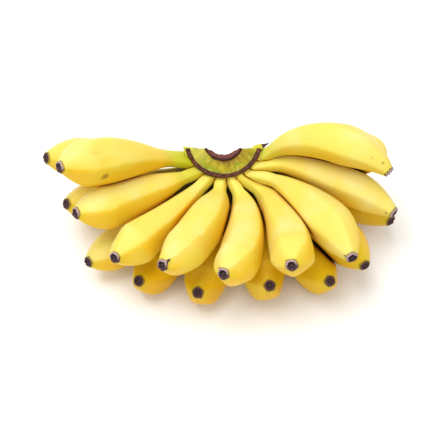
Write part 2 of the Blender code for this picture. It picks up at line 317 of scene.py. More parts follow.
# name: slot on the crown, tip (x, y from the crown's centre, z from the ground), way it leaves the
# crown and way its tip points (heading, rise), share of the whole bend in the neck and near the tip,
# neck length and shoulder length as shares of the finger and fullness, greatest radius, where the
# taper to the flower end starts, turn of the ridges about the finger
UPPER_ROW = {
    "upper_1": (-58, (-117, -56, 109), (-73, 28), (-56, 19), (0.22, 0.05), (0.15, 0.52, 1.3), 17.6, 0.80, 10),
    "upper_2": (-41, (-108, -72, 75), (-51, 7), (-53, 22), (0.05, 0.60), (0.12, 0.72, 2.0), 17.6, 0.76, 55),
    "upper_3": (-24, (-79, -104, 65), (-35, -4), (-36, 24), (0.34, 0.60), (0.09, 0.71, 1.0), 16.9, 0.76, 44),
    "upper_4": (-6, (-44, -115, 72), (-4, 0), (-39, 30), (0.40, 0.32), (0.07, 0.47, 2.5), 16.8, 0.74, 5),
    "upper_5": (11, (-1, -123, 73), (23, -12), (-37, 37), (0.35, 0.10), (0.08, 0.57, 3.0), 15.9, 0.80, 15),
    "upper_6": (25, (47, -117, 75), (53, -16), (-24, 37), (0.53, 0.05), (0.11, 0.72, 2.8), 16.0, 0.84, 16),
    "upper_7": (36, (90, -108, 72), (66, 6), (10, 11), (0.38, 0.05), (0.16, 0.68, 1.8), 17.6, 0.64, 20),
    "upper_8": (51, (126, -57, 55), (84, 14), (40, -1), (0.45, 0.05), (0.10, 0.72, 1.2), 16.3, 0.60, 55),
    "upper_9": (68, (120, -43, 87), (96, 47), (51, -14), (0.05, 0.05), (0.07, 0.72, 1.8), 16.5, 0.60, 13),
}
LOWER_ROW = {
    "lower_1": (-60, (-134, -22, 76), (-86, 4), (-61, 25), (0.42, 0.19), (0.12, 0.58, 1.2), 15.8, 0.76, 14),
    "lower_2": (-47, (-122, -38, 39), (-82, -34), (-52, 41), (0.33, 0.10), (0.10, 0.42, 1.7), 16.1, 0.80, 35),
    "lower_3": (-36, (-103, -84, 28), (-45, -20), (-48, 21), (0.09, 0.33), (0.11, 0.53, 1.3), 15.8, 0.80, 60),
    "lower_4": (-18, (-64, -103, 31), (-27, -53), (-32, 49), (0.44, 0.40), (0.02, 0.34, 2.0), 16.7, 0.76, 0),
    "lower_5": (1, (-20, -113, 31), (-1, -56), (-20, 50), (0.49, 0.40), (0.02, 0.34, 2.0), 16.7, 0.76, 0),
    "lower_6": (20, (33, -109, 34), (13, -56), (12, 58), (0.41, 0.40), (0.02, 0.34, 2.0), 16.7, 0.76, 0),
    "lower_7": (36, (78, -103, 31), (39, -50), (23, 49), (0.36, 0.40), (0.02, 0.34, 2.0), 16.7, 0.76, 0),
    "lower_8": (46, (104, -92, 36), (56, -16), (27, 11), (0.33, 0.30), (0.04, 0.44, 1.8), 16.7, 0.76, 52),
    "lower_9": (55, (129, -43, 24), (87, -25), (36, 14), (0.28, 0.24), (0.10, 0.43, 1.7), 15.8, 0.72, 67),
    "lower_10": (64, (118, -25, 77), (114, -5), (31, 27), (0.46, 0.30), (0.10, 0.42, 1.7), 16.7, 0.76, 6),
}
print(len(UPPER_ROW), "fingers in the upper row and", len(LOWER_ROW), "in the lower row")

# %% Bend of a finger
CURVE_STEPS = 120
ROOT_STEPS = 8
# where on the finger a bend gathers, and how far to either side
NECK_BEND = (0.17, 0.15)
TIP_BEND = (0.84, 0.16)
places = np.linspace(0.0, 1.0, CURVE_STEPS + 1)


def gathered(centre, half_width):
    """A bend that gathers round one place on the finger, with a sum of 1."""
    height = np.clip(1.0 - ((places - centre) / half_width) ** 2, 0.0, None) ** 2
    return height / height.sum()


def bend_so_far(neck_share, tip_share):
    """The part of a finger's whole bend that is behind each of its steps: most near the neck and tip."""
    even = np.clip((places - 0.05) / 0.1, 0.0, 1.0) * np.clip((1.0 - places) / 0.05, 0.0, 1.0)
    bend = neck_share * gathered(*NECK_BEND) + tip_share * gathered(*TIP_BEND)
    bend = bend + (1.0 - neck_share - tip_share) * even / even.sum()
    return np.cumsum(bend) / bend.sum()


def turned_onto(points, start, end):
    """The points turned by the least turn that brings the way start onto the way end."""
    axis = np.cross(start, end)
    sine, cosine = np.linalg.norm(axis), float(start @ end)
    x, y, z = axis / max(sine, 1e-9)
    cross = np.array([[0.0, -z, y], [z, 0.0, -x], [-y, x, 0.0]])
    turn = np.eye(3) + sine * cross + (1.0 - cosine) * cross @ cross
    return points @ turn.T


halfway = float(np.interp(0.5, bend_so_far(0.4, 0.3), places))
print("a finger with 0.4 of its bend in the neck has half of it behind it at", round(halfway, 2))


# %% Middle line of a finger
class Tube:
    """A finger's middle line from inside the crown to its tip, with the way it runs and its radius."""

    def __init__(self, row_back, neck_radius, plan):
        self.neck_radius = neck_radius
        slot, (tip_x, tip_y, tip_z), leaves, ends, (neck_share, tip_share) = plan[:5]
        self.shoulder, self.body_radius, self.taper_start, turn = plan[5:]
        self.roll = math.radians(turn)
        tip = np.array([CROWN_CENTRE[0] + tip_x, CROWN_CENTRE[1] + tip_y, tip_z])
        seat = crown_point(slot, SEAT_RADIUS, row_back)
        self.bend_from(seat, tip, direction(*leaves), direction(*ends), bend_so_far(neck_share, tip_share))
        self.side = unit(np.cross(self.ways[0], self.ways[-1]))
        self.root_line = self.root_curve(slot, row_back, seat)

    def bend_from(self, seat, tip, first, last, bend):
        """A line one unit long that turns from first to last, then grown and turned onto seat and tip."""
        whole = math.acos(float(first @ last))
        ways = np.outer(np.sin((1.0 - bend) * whole), first) + np.outer(np.sin(bend * whole), last)
        ways = ways / math.sin(whole)
        steps = (ways[1:] + ways[:-1]) / (2.0 * CURVE_STEPS)
        line = np.concatenate([np.zeros((1, 3)), np.cumsum(steps, axis=0)])
        self.length = np.linalg.norm(tip - seat) / np.linalg.norm(line[-1])
        start, end = unit(line[-1]), unit(tip - seat)
        self.line = seat + self.length * turned_onto(line, start, end)
        self.ways = turned_onto(ways, start, end)

    def root_curve(self, slot, row_back, seat):
        """A smooth curve that leaves the crown straight out and meets the finger's own first way."""
        inside = crown_point(slot, ROOT_RADIUS, row_back)
        pull = (SEAT_RADIUS - ROOT_RADIUS) / 2.5
        handles = inside + pull * crown_outward(slot), seat - pull * self.ways[0]
        t = np.linspace(0.0, 1.0, ROOT_STEPS + 1)[:, None]
        curve = (1 - t) ** 3 * inside + 3 * (1 - t) ** 2 * t * handles[0]
        return curve + 3 * (1 - t) * t**2 * handles[1] + t**3 * seat

    def radius(self, place):
        neck, span, fullness = self.shoulder
        t = np.clip((place - neck) / span, 0.0, 1.0)
        t = (1.0 + SHOULDER_EASE) * t * t / (t + SHOULDER_EASE)
        body = self.neck_radius + (self.body_radius - self.neck_radius) * (1.0 - (1.0 - t) ** fullness)
        end = np.clip((place - self.taper_start) / (1.0 - self.taper_start), 0.0, 1.0)
        return body * (1.0 - (1.0 - FLOWER_END_RADIUS / self.body_radius) * end**TAPER_POWER)


tubes = {name: Tube(UPPER_BACK, UPPER_NECK_RADIUS, plan) for name, plan in UPPER_ROW.items()}
tubes.update({name: Tube(LOWER_BACK, LOWER_NECK_RADIUS, plan) for name, plan in LOWER_ROW.items()})
print("finger lengths in mm", {name: round(float(tube.length)) for name, tube in tubes.items()})

# %% [markdown]
# ## One straight tube for all
#
# A finger is a tube that bends, so the mesh starts as a straight tube: a circle, extruded ring by
# ring. It is made once and copied, and each copy is then bent onto its own middle line. Its straight
# place stays with every point as an attribute, which gives the patterns on the peel a seamless
# coordinate that follows the finger.

# %% Straight tube
SIDES = 60
# the rings past the finger's end: height over it, and radius as a share of the flower end's
LIP = ((0.45, 1.03), (0.80, 0.97), (0.85, 0.86), (0.40, 0.78), (-0.60, 0.72))


def straight_tube(sides, ring_count):
    bm = bmesh.new()
    bmesh.ops.create_circle(bm, cap_ends=True, radius=1.0, segments=sides)
    edges = bm.edges[:]
    for _ in range(ring_count - 1):
        grown = bmesh.ops.extrude_edge_only(bm, edges=edges)["geom"]
        verts = [part for part in grown if isinstance(part, bmesh.types.BMVert)]
        edges = [e for e in grown if isinstance(e, bmesh.types.BMEdge) and len(e.link_faces) < 2]
        bmesh.ops.translate(bm, verts=verts, vec=(0.0, 0.0, 1.0))
    bmesh.ops.contextual_create(bm, geom=edges)
    mesh = bpy.data.meshes.new(f"straight_{sides}x{ring_count}")
    bm.to_mesh(mesh)
    bm.free()
    return mesh


def places_of(mesh, sides):
    """The ring and the column of each point of a straight tube."""
    co = np.empty(len(mesh.vertices) * 3, np.float32)
    mesh.vertices.foreach_get("co", co)
    x, y, z = co.reshape(-1, 3).T
    rings = np.round(z).astype(int)
    columns = np.round(np.arctan2(y, x) / (2.0 * math.pi) * sides).astype(int) % sides
    return rings, columns


finger_rings = ROOT_STEPS + CURVE_STEPS + 1 + len(LIP)
straight_finger = straight_tube(SIDES, finger_rings)
print("straight finger", len(straight_finger.polygons), "faces")


# %% Bent copies
def write_attribute(mesh, name, values):
    kind, field = ("FLOAT_VECTOR", "vector") if values.ndim == 2 else ("FLOAT", "value")
    attribute = mesh.attributes.new(name, kind, "POINT")
    attribute.data.foreach_set(field, values.astype(np.float32).ravel())


def around(angle, side, inner):
    """The way out from a tube's middle, at an angle from the inner side of its bend."""
    return np.sin(angle)[..., None] * side - np.cos(angle)[..., None] * inner


def face_outwards(mesh):
    bm = bmesh.new()
    bm.from_mesh(mesh)
    bmesh.ops.recalc_face_normals(bm, faces=bm.faces)
    if bm.calc_volume(signed=True) < 0.0:
        bmesh.ops.reverse_faces(bm, faces=bm.faces)
    bm.to_mesh(mesh)
    bm.free()
    mesh.shade_smooth()


def bent(name, tube_mesh, sides, skin, attributes):
    """A copy of a straight tube with its points at skin[ring, column], in millimetres."""
    mesh = tube_mesh.copy()
    mesh.name = name
    rings, columns = places_of(tube_mesh, sides)
    mesh.vertices.foreach_set("co", (skin[rings, columns] * MM).astype(np.float32).ravel())
    for attribute, values in attributes.items():
        write_attribute(mesh, attribute, values[rings, columns])
    face_outwards(mesh)
    piece = bpy.data.objects.new(name, mesh)
    scene.collection.objects.link(piece)
    return piece


# %% [markdown]
# ## Ridges, lumps and pressed flats
#
# A small banana is not round: it has five soft ridges, which sharpen towards the tip and run out into
# the corners of the dried flower. Its surface also rolls a little. Where two fingers grow against each
# other both are pressed flat, so each point is drawn in along its own ray until it lies no nearer the
# neighbour's skin than its own. The table under the hand flattens the lowest bellies the same way.

# %% Cross-section
RIDGES = 5
RIDGE_SHARPNESS = 0.52
RIDGE_REACH = 1.06
CONTACT_REACH = 1.02
TIP_SHARPNESS = 0.60
RIDGE_ROUNDING = 0.11
FACET_SHARE = 0.50


def ridge_shape(angle, sharpness):
    """The reach of a five-sided outline with rounded ridges, at an angle from the middle of a flat."""
    half_side = math.pi / RIDGES
    off = np.abs((angle + half_side) % (2.0 * half_side) - half_side)
    from_ridge = np.sqrt((half_side - off) ** 2 + RIDGE_ROUNDING**2) - 0.3 * RIDGE_ROUNDING
    return RIDGE_REACH * (math.cos(half_side) / np.cos(half_side - from_ridge)) ** sharpness


ridge, flat_middle = ridge_shape(np.array([math.pi / RIDGES, 0.0]), RIDGE_SHARPNESS)
print("a ridge reaches", round(float(ridge), 3), "of the radius and a flat", round(float(flat_middle), 3))

# %% Lumps
LUMP_WAVES = 7
LUMP_DEPTH = 0.20
LUMP_SIZE = (13.0, 13.0, 24.0)


def lumps(straight, rng):
    """Slow swellings of the skin, in millimetres, as a sum of a few waves over the straight finger."""
    total = np.zeros(straight.shape[:-1])
    for _ in range(LUMP_WAVES):
        wave = rng.normal(size=3) / np.array(LUMP_SIZE)
        total += np.sin(straight @ wave + rng.uniform(0.0, 2.0 * math.pi))
    return LUMP_DEPTH * total


print("lumps stand out", round(LUMP_DEPTH * LUMP_WAVES, 1), "mm at most")

# %% Neighbours
NEIGHBOUR_REACH = 42.0

fields = {}
for name, tube in tubes.items():
    field_points = np.concatenate([tube.root_line, tube.line[::2]])
    field_radii = np.concatenate([np.full(ROOT_STEPS + 1, tube.neck_radius), tube.radius(places[::2])])
    fields[name] = (field_points, CONTACT_REACH * field_radii)


def field_near(name):
    """The middle points and radii of the fingers round one finger, where they come near it."""
    own = fields[name][0]
    points = np.concatenate([p for other, (p, _) in fields.items() if other != name])
    radii = np.concatenate([r for other, (_, r) in fields.items() if other != name])
    near = np.linalg.norm(points[:, None] - own[None], axis=2).min(axis=1) < NEIGHBOUR_REACH
    return points[near], radii[near]


print("points of neighbours near upper_5", len(field_near("upper_5")[0]))

# %% Pressing
PRESS_GAP = 0.25
NEARNESS_FADE = 5.0
LEAST_SHARE = 0.30
HALVINGS = 14


def distances(skin, points):
    square = (skin**2).sum(axis=1)[:, None] + (points**2).sum(axis=1)[None] - 2.0 * skin @ points.T
    return np.sqrt(np.clip(square, 0.0, None))


def softened(share):
    """The share with its sudden edges smoothed, round the rings and along the finger."""
    for _ in range(2):
        share = (np.roll(share, 1, axis=1) + 2.0 * share + np.roll(share, -1, axis=1)) / 4.0
        share[1:-1] = (share[:-2] + 2.0 * share[1:-1] + share[2:]) / 4.0
    return share


def press(name, centres, outward, reach):
    """The pressed skin, and how near each of its points is to a neighbour, from 1 on a flat to 0."""
    points, radii = field_near(name)
    origin, way, full = centres.reshape(-1, 3), outward.reshape(-1, 3), reach.ravel()

    def room(share, chosen):
        skin = origin[chosen] + way[chosen] * (full[chosen] * share)[:, None]
        away = (distances(skin, points) - radii[None]).min(axis=1)
        return np.minimum(away - full[chosen] * (share - 1.0) - PRESS_GAP, skin[:, 2])

    share = np.ones(len(full))
    everything = np.arange(len(full))
    pressed = everything[room(share, everything) < 0.0]
    low, high = np.full(len(pressed), LEAST_SHARE), np.ones(len(pressed))
    for _ in range(HALVINGS):
        middle = (low + high) / 2.0
        clear = room(middle, pressed) >= 0.0
        low, high = np.where(clear, middle, low), np.where(clear, high, middle)
    share[pressed] = low
    share = softened(share.reshape(reach.shape)).ravel()
    nearness = np.exp(-np.clip(room(share, everything), 0.0, None) / NEARNESS_FADE)
    skin = origin + way * (full * share)[:, None]
    skin[:, 2] = np.maximum(skin[:, 2], 0.0)
    return skin.reshape(outward.shape), nearness.reshape(reach.shape)


# %% [markdown]
# ## What each finger's peel remembers
#
# Besides its form a finger carries a few marks of its own: a bruise and a neck that is still green. In the
# lower row the top of the neck, which lies in the dark under the upper row, gets painted shade. They are
# worked out here as one number for each point of the skin, because a material can read an attribute but can't
# measure.

# %% What differs between fingers
# how strongly the top of a lower finger's neck is painted in shade under the upper row, where it isn't 0.9
NECK_SHADE_STRENGTH = {"lower_1": 0.0, "lower_2": 0.5, "lower_9": 0.3, "lower_10": 0.0}
# where a finger has a bruise, in the shared frame, its size in millimetres and its strength
BRUISES = {
    "upper_1": (((-84.2, -2.2, 97.0), 3.8, 1.1), ((-90.0, 7.0, 113.0), 5.0, 0.45)),
    "upper_8": (((122.7, -5.9, 56.8), 1.6, 0.9), ((118.0, -9.0, 55.0), 1.2, 0.7)),
    "upper_9": (((117.4, 11.8, 95.0), 1.8, 0.8), ((109.3, 14.2, 97.8), 1.4, 0.7)),
}
# how green a finger's neck still is, where it isn't 0.35
UNRIPE_NECK = {"upper_1": 1.0, "upper_2": 0.7, "upper_4": 0.1, "upper_5": 0.2, "upper_9": 0.6, "lower_1": 0.9}
print("bruised fingers", list(BRUISES))

# %% Skin of a finger
# the way of the key light, for painted light and shade on the peel and the flower ends
PAINTED_LIGHT_WAY = direction(-105.0, 55.0)
# facets of a lower neck that face this way get painted shade from the upper row
NECK_SHADE_WAY = direction(0.0, 60.0)
RIDGE_WOBBLE = 0.09
WOBBLES = 1.3
LUMPS_IN_NECK = 0.25
PATTERN_SPREAD = 500.0


def bruises_on(name, skin):
    bruised = np.zeros(skin.shape[:-1])
    for centre, size, strength in BRUISES.get(name, ()):
        away = np.linalg.norm(skin - np.array(centre), axis=2)
        bruised += strength * np.exp(-((away / size) ** 2))
    return bruised


def rings_of(tube):
    """Middle, side way, inner way, radius and place along the finger of each of its rings."""
    root_ways = unit(np.gradient(tube.root_line, axis=0))[:-1]
    lip_out, lip_share = np.array(LIP).T
    centres = np.concatenate(
        [tube.root_line[:-1], tube.line, tube.line[-1] + lip_out[:, None] * tube.ways[-1]]
    )
    ways = np.concatenate([root_ways, tube.ways, np.repeat(tube.ways[-1:], len(LIP), axis=0)])
    sides = unit(tube.side - ways * (ways @ tube.side)[:, None])
    inner = np.cross(sides, ways)
    radius = np.concatenate(
        [np.full(ROOT_STEPS, tube.neck_radius), tube.radius(places), FLOWER_END_RADIUS * lip_share]
    )
    along = np.concatenate([np.linspace(-0.08, -0.01, ROOT_STEPS), places, 1.0 + 0.002 * lip_out])
    return centres, sides, inner, radius, along


def finger_form(name, seed):
    """Everything that a finger's mesh needs: its skin, ring by ring, and what is painted by place."""
    tube = tubes[name]
    rng = np.random.default_rng(seed)
    centres, sides, inner, radius, along = rings_of(tube)
    angle = np.arange(SIDES) * 2.0 * math.pi / SIDES
    turned = angle + tube.roll
    outward = around(turned[None], sides[:, None], inner[:, None])
    sharpness = RIDGE_SHARPNESS + (TIP_SHARPNESS - RIDGE_SHARPNESS) * np.clip((along - 0.4) / 0.5, 0, 1)
    wobble = RIDGE_WOBBLE * np.sin(2.0 * math.pi * (WOBBLES * along + rng.uniform()))
    wobbled = angle[None] + wobble[:, None]
    shape = ridge_shape(wobbled, sharpness[:, None])
    half_side = math.pi / RIDGES
    off_flat = (wobbled + half_side) % (2.0 * half_side) - half_side
    facet = around(turned[None] - FACET_SHARE * off_flat, sides[:, None], inner[:, None])
    straight = np.stack(
        [
            np.cos(turned)[None] * radius[:, None],
            np.sin(turned)[None] * radius[:, None],
            np.repeat(along[:, None] * tube.length, SIDES, axis=1),
        ],
        axis=-1,
    )
    body = np.clip((radius - tube.neck_radius) / (tube.body_radius - tube.neck_radius), 0.0, 1.0)
    lump_share = LUMPS_IN_NECK + (1.0 - LUMPS_IN_NECK) * body[:, None]
    reach = radius[:, None] * shape + lumps(straight, rng) * lump_share
    skin, nearness = press(name, np.repeat(centres[:, None], SIDES, axis=1), outward, reach)
    neck_shade_strength = NECK_SHADE_STRENGTH.get(name, 0.9) if name in LOWER_ROW else 0.0
    return {
        "skin": skin,
        "bruised": bruises_on(name, skin),
        # painted shade on the top of a lower finger's neck, under the upper row
        "covered": neck_shade_strength * np.clip(2.0 * facet @ NECK_SHADE_WAY - 0.3, 0.0, 1.0),
        "straight": straight + rng.uniform(-PATTERN_SPREAD, PATTERN_SPREAD, size=3),
        "along": np.repeat(along[:, None], SIDES, axis=1),
        "nearness": nearness,
        # painted light: 1 on facets facing the key light, 0 on those turned away
        "painted_light": facet @ PAINTED_LIGHT_WAY * 0.5 + 0.5,
        "unripe": np.full(reach.shape, UNRIPE_NECK.get(name, 0.35)),
    }


# %% [markdown]
# ## Peel
#
# Ripe peel is a clear yellow, with a pale painted highlight on the tops that face the key light. Painted
# light makes it palest on the facets that face the key light, and painted shade makes it deeper, almost
# orange, on the sides turned away. Where fingers touch, painted shade turns it rusty and then plum. It stays
# green in the neck longest, and a little at the tip. Faint fibres run along it, with a scatter of tiny brown
# flecks. All of that is painted from the attributes of the bent tube, so it follows each finger from the
# crown to the tip. The fingers at the bottom lie in the shade of the others, so their finish is a darker
# painted-shade copy with hardly any painted highlight: two finishes from one function.

# %% Peel's finish
LEMON = tint(230, 222, 158)
YELLOW = tint(230, 207, 84)
AMBER = tint(232, 186, 26)
ORANGE_SHADE = tint(222, 140, 6)
GREEN = tint(188, 188, 28)
RUSTY_SHADE = tint(120, 50, 12)
PLUM_SHADE = tint(58, 20, 26)
BROWN = tint(84, 48, 22)


def peel_finish(name, lit_colour, shade, gap_shade, sheen_and_veil):
    """One row's peel: its painted lit and shade colours, gap shade, and painted highlight with veil."""
    peel = Finish(name, Specular_IOR_Level=0.25, Subsurface_Weight=0.06, Subsurface_Scale=0.002)
    peel.shader.inputs["Subsurface Radius"].default_value = (1.0, 0.75, 0.2)
    straight = peel.attribute("straight", "Vector")
    along = peel.attribute("along")
    nearness = peel.attribute("nearness")
    broad = peel.noise(straight, 0.035, 2.0)
    fibres = peel.noise(peel.stretched(straight, (1.0, 1.0, 0.05)), 0.9, 3.0, 0.6)
    # painted light and shade: the lit colour where facets face the key light, the shade colour where they
    # turn away
    light = peel.step(peel.attribute("painted_light") + (broad - 0.5) * 0.3, 0.22, 0.84)
    peel.colour = peel.mix(light, shade, lit_colour)
    # painted highlight where the painted light is strongest, and a faint yellow-green veil
    peel.paint(light * light * (peel.step(broad, 0.42, 0.70) * 0.40 + 0.10) * sheen_and_veil, LEMON)
    veil = peel.noise(peel.stretched(straight, (1.0, 1.0, 0.25)), 0.07, 2.0)
    peel.paint(peel.step(veil, 0.50, 0.68) * 0.30 * sheen_and_veil, tint(222, 216, 84))
    peel.paint((fibres - 0.35) * 0.30, AMBER)
    # neck and tip
    peel.paint(peel.step(along, 0.20, 0.08) * 0.40, tint(248, 238, 116))
    green = peel.step(along + (fibres - 0.5) * 0.10 + (broad - 0.5) * 0.12, 0.28, 0.06)
    peel.paint(green * peel.attribute("unripe"), GREEN)
    tip_green = peel.step(along + (fibres - 0.5) * 0.03, 0.94, 1.0)
    peel.paint(tip_green * 0.25, GREEN)
    # painted shade on sides that lie against other fingers, and on necks in the dark between the rows
    past_neck = peel.step(along, 0.10, 0.30)
    shade_beside = peel.step(nearness + (fibres - 0.5) * 0.1, 0.50, 0.94) * (0.25 + past_neck * 0.30)
    peel.paint(shade_beside, ORANGE_SHADE)
    peel.paint(peel.step(nearness, 0.64, 0.98) * past_neck * gap_shade, RUSTY_SHADE)
    peel.paint(peel.step(nearness, 0.92, 1.0) * past_neck * 0.85, PLUM_SHADE)
    # painted shade on the tops of lower necks under the upper row
    covered = peel.step(along, 0.44, 0.28) * peel.attribute("covered")
    peel.paint(covered, PLUM_SHADE)
    # bruises, flecks and the stain round the flower end
    bruised = peel.attribute("bruised") + (fibres - 0.5) * 0.3
    peel.paint(peel.step(bruised, 0.25, 0.9) * 0.7, tint(140, 88, 30))
    flecks = peel.noise(straight, 0.85, 1.0)
    chosen = peel.noise(straight, 0.12, 1.0)
    specks = peel.step(flecks, 0.74, 0.78) * peel.step(chosen, 0.5, 0.62)
    peel.paint(specks * 0.6, BROWN)
    peel.paint(peel.step(along, 0.996, 1.0) * 0.6, BROWN)
    pores = peel.noise(straight, 2.2, 2.0)
    relief = fibres * 0.6 + pores * 0.25 + broad * 0.8
    peel.close(0.36 + fibres * 0.12 + specks * 0.2, relief, 0.16)
    return peel.material


# the lower row's finish is a darker copy for painted shade, with little painted highlight
upper_peel = peel_finish("upper peel", YELLOW, AMBER, 0.15, 1.0)
shaded_lower_peel = peel_finish("lower peel", tint(230, 194, 16), tint(222, 170, 6), 0.60, 0.2)
print("peel", len(upper_peel.node_tree.nodes), "nodes")

# %% Fingers of both rows
# fingers of the lower row that reach out into the light, so they take the lit peel, not the painted-shade
# copy
LOWER_IN_LIGHT = ("lower_1", "lower_2", "lower_3", "lower_10")

for seed, name in enumerate(tubes):
    form = finger_form(name, seed)
    skin = form.pop("skin")
    finger = bent(name + "_peel", straight_finger, SIDES, skin, form)
    pale = name in UPPER_ROW or name in LOWER_IN_LIGHT
    finger.data.materials.append(upper_peel if pale else shaded_lower_peel)
    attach(finger, "root")
    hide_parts(name)
    low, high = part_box(name)
    points = skin.reshape(-1, 3) * MM
    far_out = max(np.max(np.array(low) - points.min(axis=0)), np.max(points.max(axis=0) - np.array(high)))
    print(name, "stands at most", round(float(far_out) / MM, 1), "mm out of its plain finger's box")

# %% [markdown]
# ## Dried flower ends
#
# Every banana ends in what is left of its flower: a short brown-black stub with five lobes, a greyish broken
# rim and a hollow middle. The rim's grey is its own, but it is painted paler only where the stub faces the
# key light, and faintly on the lower row in the shade: painted light. The hollow is darker in its own colour
# and with painted shade. The lobes sit where the five ridges run out, and on some fingers a dry thorn stands
# out from the stub's edge. The stub is a tube too, whose rings go up the outside, over the rim and down into
# the hollow.

# %% Outline of a flower end
END_SIDES = 60
# height over the finger's end, radius, how much of the thorn shows
END_PROFILE = (
    (-1.8, 4.55, 1.0), (-0.8, 4.45, 1.0), (0.1, 4.4, 0.9), (0.7, 4.35, 0.7),
    (1.2, 4.2, 0.5), (1.6, 3.95, 0.3), (1.8, 3.65, 0.2), (1.8, 3.35, 0.1),
    (1.55, 3.1, 0.0), (1.1, 2.85, 0.0), (0.6, 2.5, 0.0), (0.3, 2.0, 0.0),
    (0.3, 1.5, 0.0), (0.6, 1.1, 0.0), (0.9, 0.8, 0.0), (1.0, 0.3, 0.0),
)
UPPER_END_SIZE = 0.95
LOWER_END_SIZE = 0.86
# a dry thorn's place round the finger in degrees, and how far it stands out in millimetres
THORNS = {
    "upper_4": (252, 3.0),
    "upper_5": (156, 1.5),
    "upper_6": (165, 1.5),
    "upper_7": (180, 1.2),
    "lower_5": (324, 1.5),
    "lower_6": (268, 1.2),
}
straight_end = straight_tube(END_SIDES, len(END_PROFILE))
print("thorns on", list(THORNS))

# %% Flower ends
# the angle in radians over which a thorn narrows
THORN_WIDTH = 0.13
RIPPLES = 5
RIPPLE_OUT = 0.07
RIPPLE_UP = 0.12
GRAIN_SPREAD = 50.0
LOWER_END_LIGHT = 0.25


def lobes(angle, sizes):
    """How far the five lobes stand out round the stub."""
    out = np.zeros(angle.shape)
    for k, size in enumerate(sizes):
        at = (2 * k + 1) * math.pi / RIDGES
        off = np.abs((angle - at + math.pi) % (2.0 * math.pi) - math.pi)
        out += size * np.clip(np.cos(off * RIDGES / 2.0), 0.0, None) * (off < math.pi / RIDGES)
    return out


def flower_end(name, seed):
    tube = tubes[name]
    rng = np.random.default_rng(1000 + seed)
    height, radius, thorn_share = np.array(END_PROFILE).T
    angle = np.arange(END_SIDES) * 2.0 * math.pi / END_SIDES
    radius = radius * (UPPER_END_SIZE if name in UPPER_ROW else LOWER_END_SIZE)
    sizes = rng.uniform(0.15, 0.45, RIDGES)
    thorn_at, thorn = THORNS.get(name, (0, 0.0))
    from_thorn = np.abs((angle - math.radians(thorn_at) + math.pi) % (2.0 * math.pi) - math.pi)
    reach = radius[:, None] + thorn_share[:, None] * thorn * np.exp(-from_thorn / THORN_WIDTH)[None]
    reach += lobes(angle, sizes)[None] * radius[:, None] / 4.5
    lift = np.zeros_like(reach)
    raised = np.clip(height, 0.0, 2.0)[:, None] / 2.0
    for _ in range(RIPPLES):
        count, phase = rng.integers(3, 11), rng.uniform(0.0, 2.0 * math.pi)
        reach += RIPPLE_OUT * np.cos(count * angle + phase)[None] * (radius / 4.0)[:, None]
        lift += RIPPLE_UP * np.cos(count * angle + 2.0 * phase)[None] * raised
    side, way = tube.side, tube.ways[-1]
    inner = np.cross(side, way)
    outward = around(angle + tube.roll, side, inner)
    skin = tube.line[-1] + (height[:, None] + lift)[..., None] * way + reach[..., None] * outward[None]
    straight = np.stack([reach * np.cos(angle), reach * np.sin(angle), height[:, None] + lift], axis=-1)
    straight = straight + rng.uniform(-GRAIN_SPREAD, GRAIN_SPREAD, size=3)
    inward = np.repeat(np.linspace(0.0, 1.0, len(height))[:, None], END_SIDES, axis=1)
    # painted light on the stub: strong where it faces the key light, faint on the lower row in the shade
    bleached = np.clip(outward @ PAINTED_LIGHT_WAY * 0.6 + 0.55, 0.0, 1.0)
    bleached = bleached * (1.0 if name in UPPER_ROW else LOWER_END_LIGHT)
    bleached = np.repeat(bleached[None], len(height), axis=0)
    petals = np.repeat(-np.cos(RIDGES * angle)[None], len(height), axis=0)
    painted = {"straight": straight, "inward": inward, "bleached": bleached, "petals": petals}
    return bent(name + "_flower_end", straight_end, END_SIDES, skin, painted)


flower_ends = [flower_end(name, seed) for seed, name in enumerate(tubes)]
print(len(flower_ends), "flower ends of", len(straight_end.polygons), "faces")

# %% Flower ends' finish
dried = Finish("dried flower", Roughness=0.75)
grain_place = dried.attribute("straight", "Vector")
inward = dried.attribute("inward")
grain = dried.noise(grain_place, 1.1, 4.0, 0.65)
bleached = dried.attribute("bleached")
grey_rim = dried.step(inward, 0.16, 0.28) * dried.step(inward, 0.56, 0.44)
dried.colour = dried.mix(grain, tint(28, 10, 16), tint(92, 54, 60))
# the grey rim shows, paler, only where painted light falls
lit_rim = grey_rim * dried.step(bleached + (grain - 0.5) * 0.8, 0.25, 0.65)
dried.paint(lit_rim * 0.9, tint(190, 158, 160))
# the hollow: its own dark colour with painted shade, scaled by the painted light
hollow = dried.step(inward, 0.48, 0.60) * (0.3 + bleached * 0.7)
dried.paint(hollow, tint(18, 12, 14))
petals = dried.step(dried.attribute("petals"), -0.2, 0.8) * dried.step(inward, 0.30, 0.45)
dried.paint(petals * dried.step(inward, 0.80, 0.66) * 0.4, tint(112, 78, 84))
dried.paint(dried.step(inward, 0.84, 0.92) * 0.5, tint(96, 72, 66))
dried.close(0.55 + grain * 0.4, grain, 0.5)

for end in flower_ends:
    end.data.materials.append(dried.material)
    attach(end, "root")
print("dried flower", len(dried.tree.nodes), "nodes")

# %% [markdown]
# ## Crown
#
# The crown is the pad of stem that the fingers share. Its face is green with fibres that fan out from the
# cut, and browner near it, with a faint painted highlight just inside the rim. Turning one section round the
# crown's axis gives the crescent. The section's few points are divided and smoothed first, so that its edges
# come out soft. Among the lower necks the section runs out into a wedge of stem tissue, painted dark as
# shade, or the table would show between them. Past the outermost necks it is drawn in again.
# One slanted plane cuts both ends of the crescent. Its skin is then roughened, and the whole is widened
# a little and moved a little to the left, where the photograph shows it.

# %% Crown's section
CROWN_HALF_ARC = 85.0
CROWN_DEPTH = 28.0
CUT_RADIUS = 14.5
RIM_RADIUS = 28.6
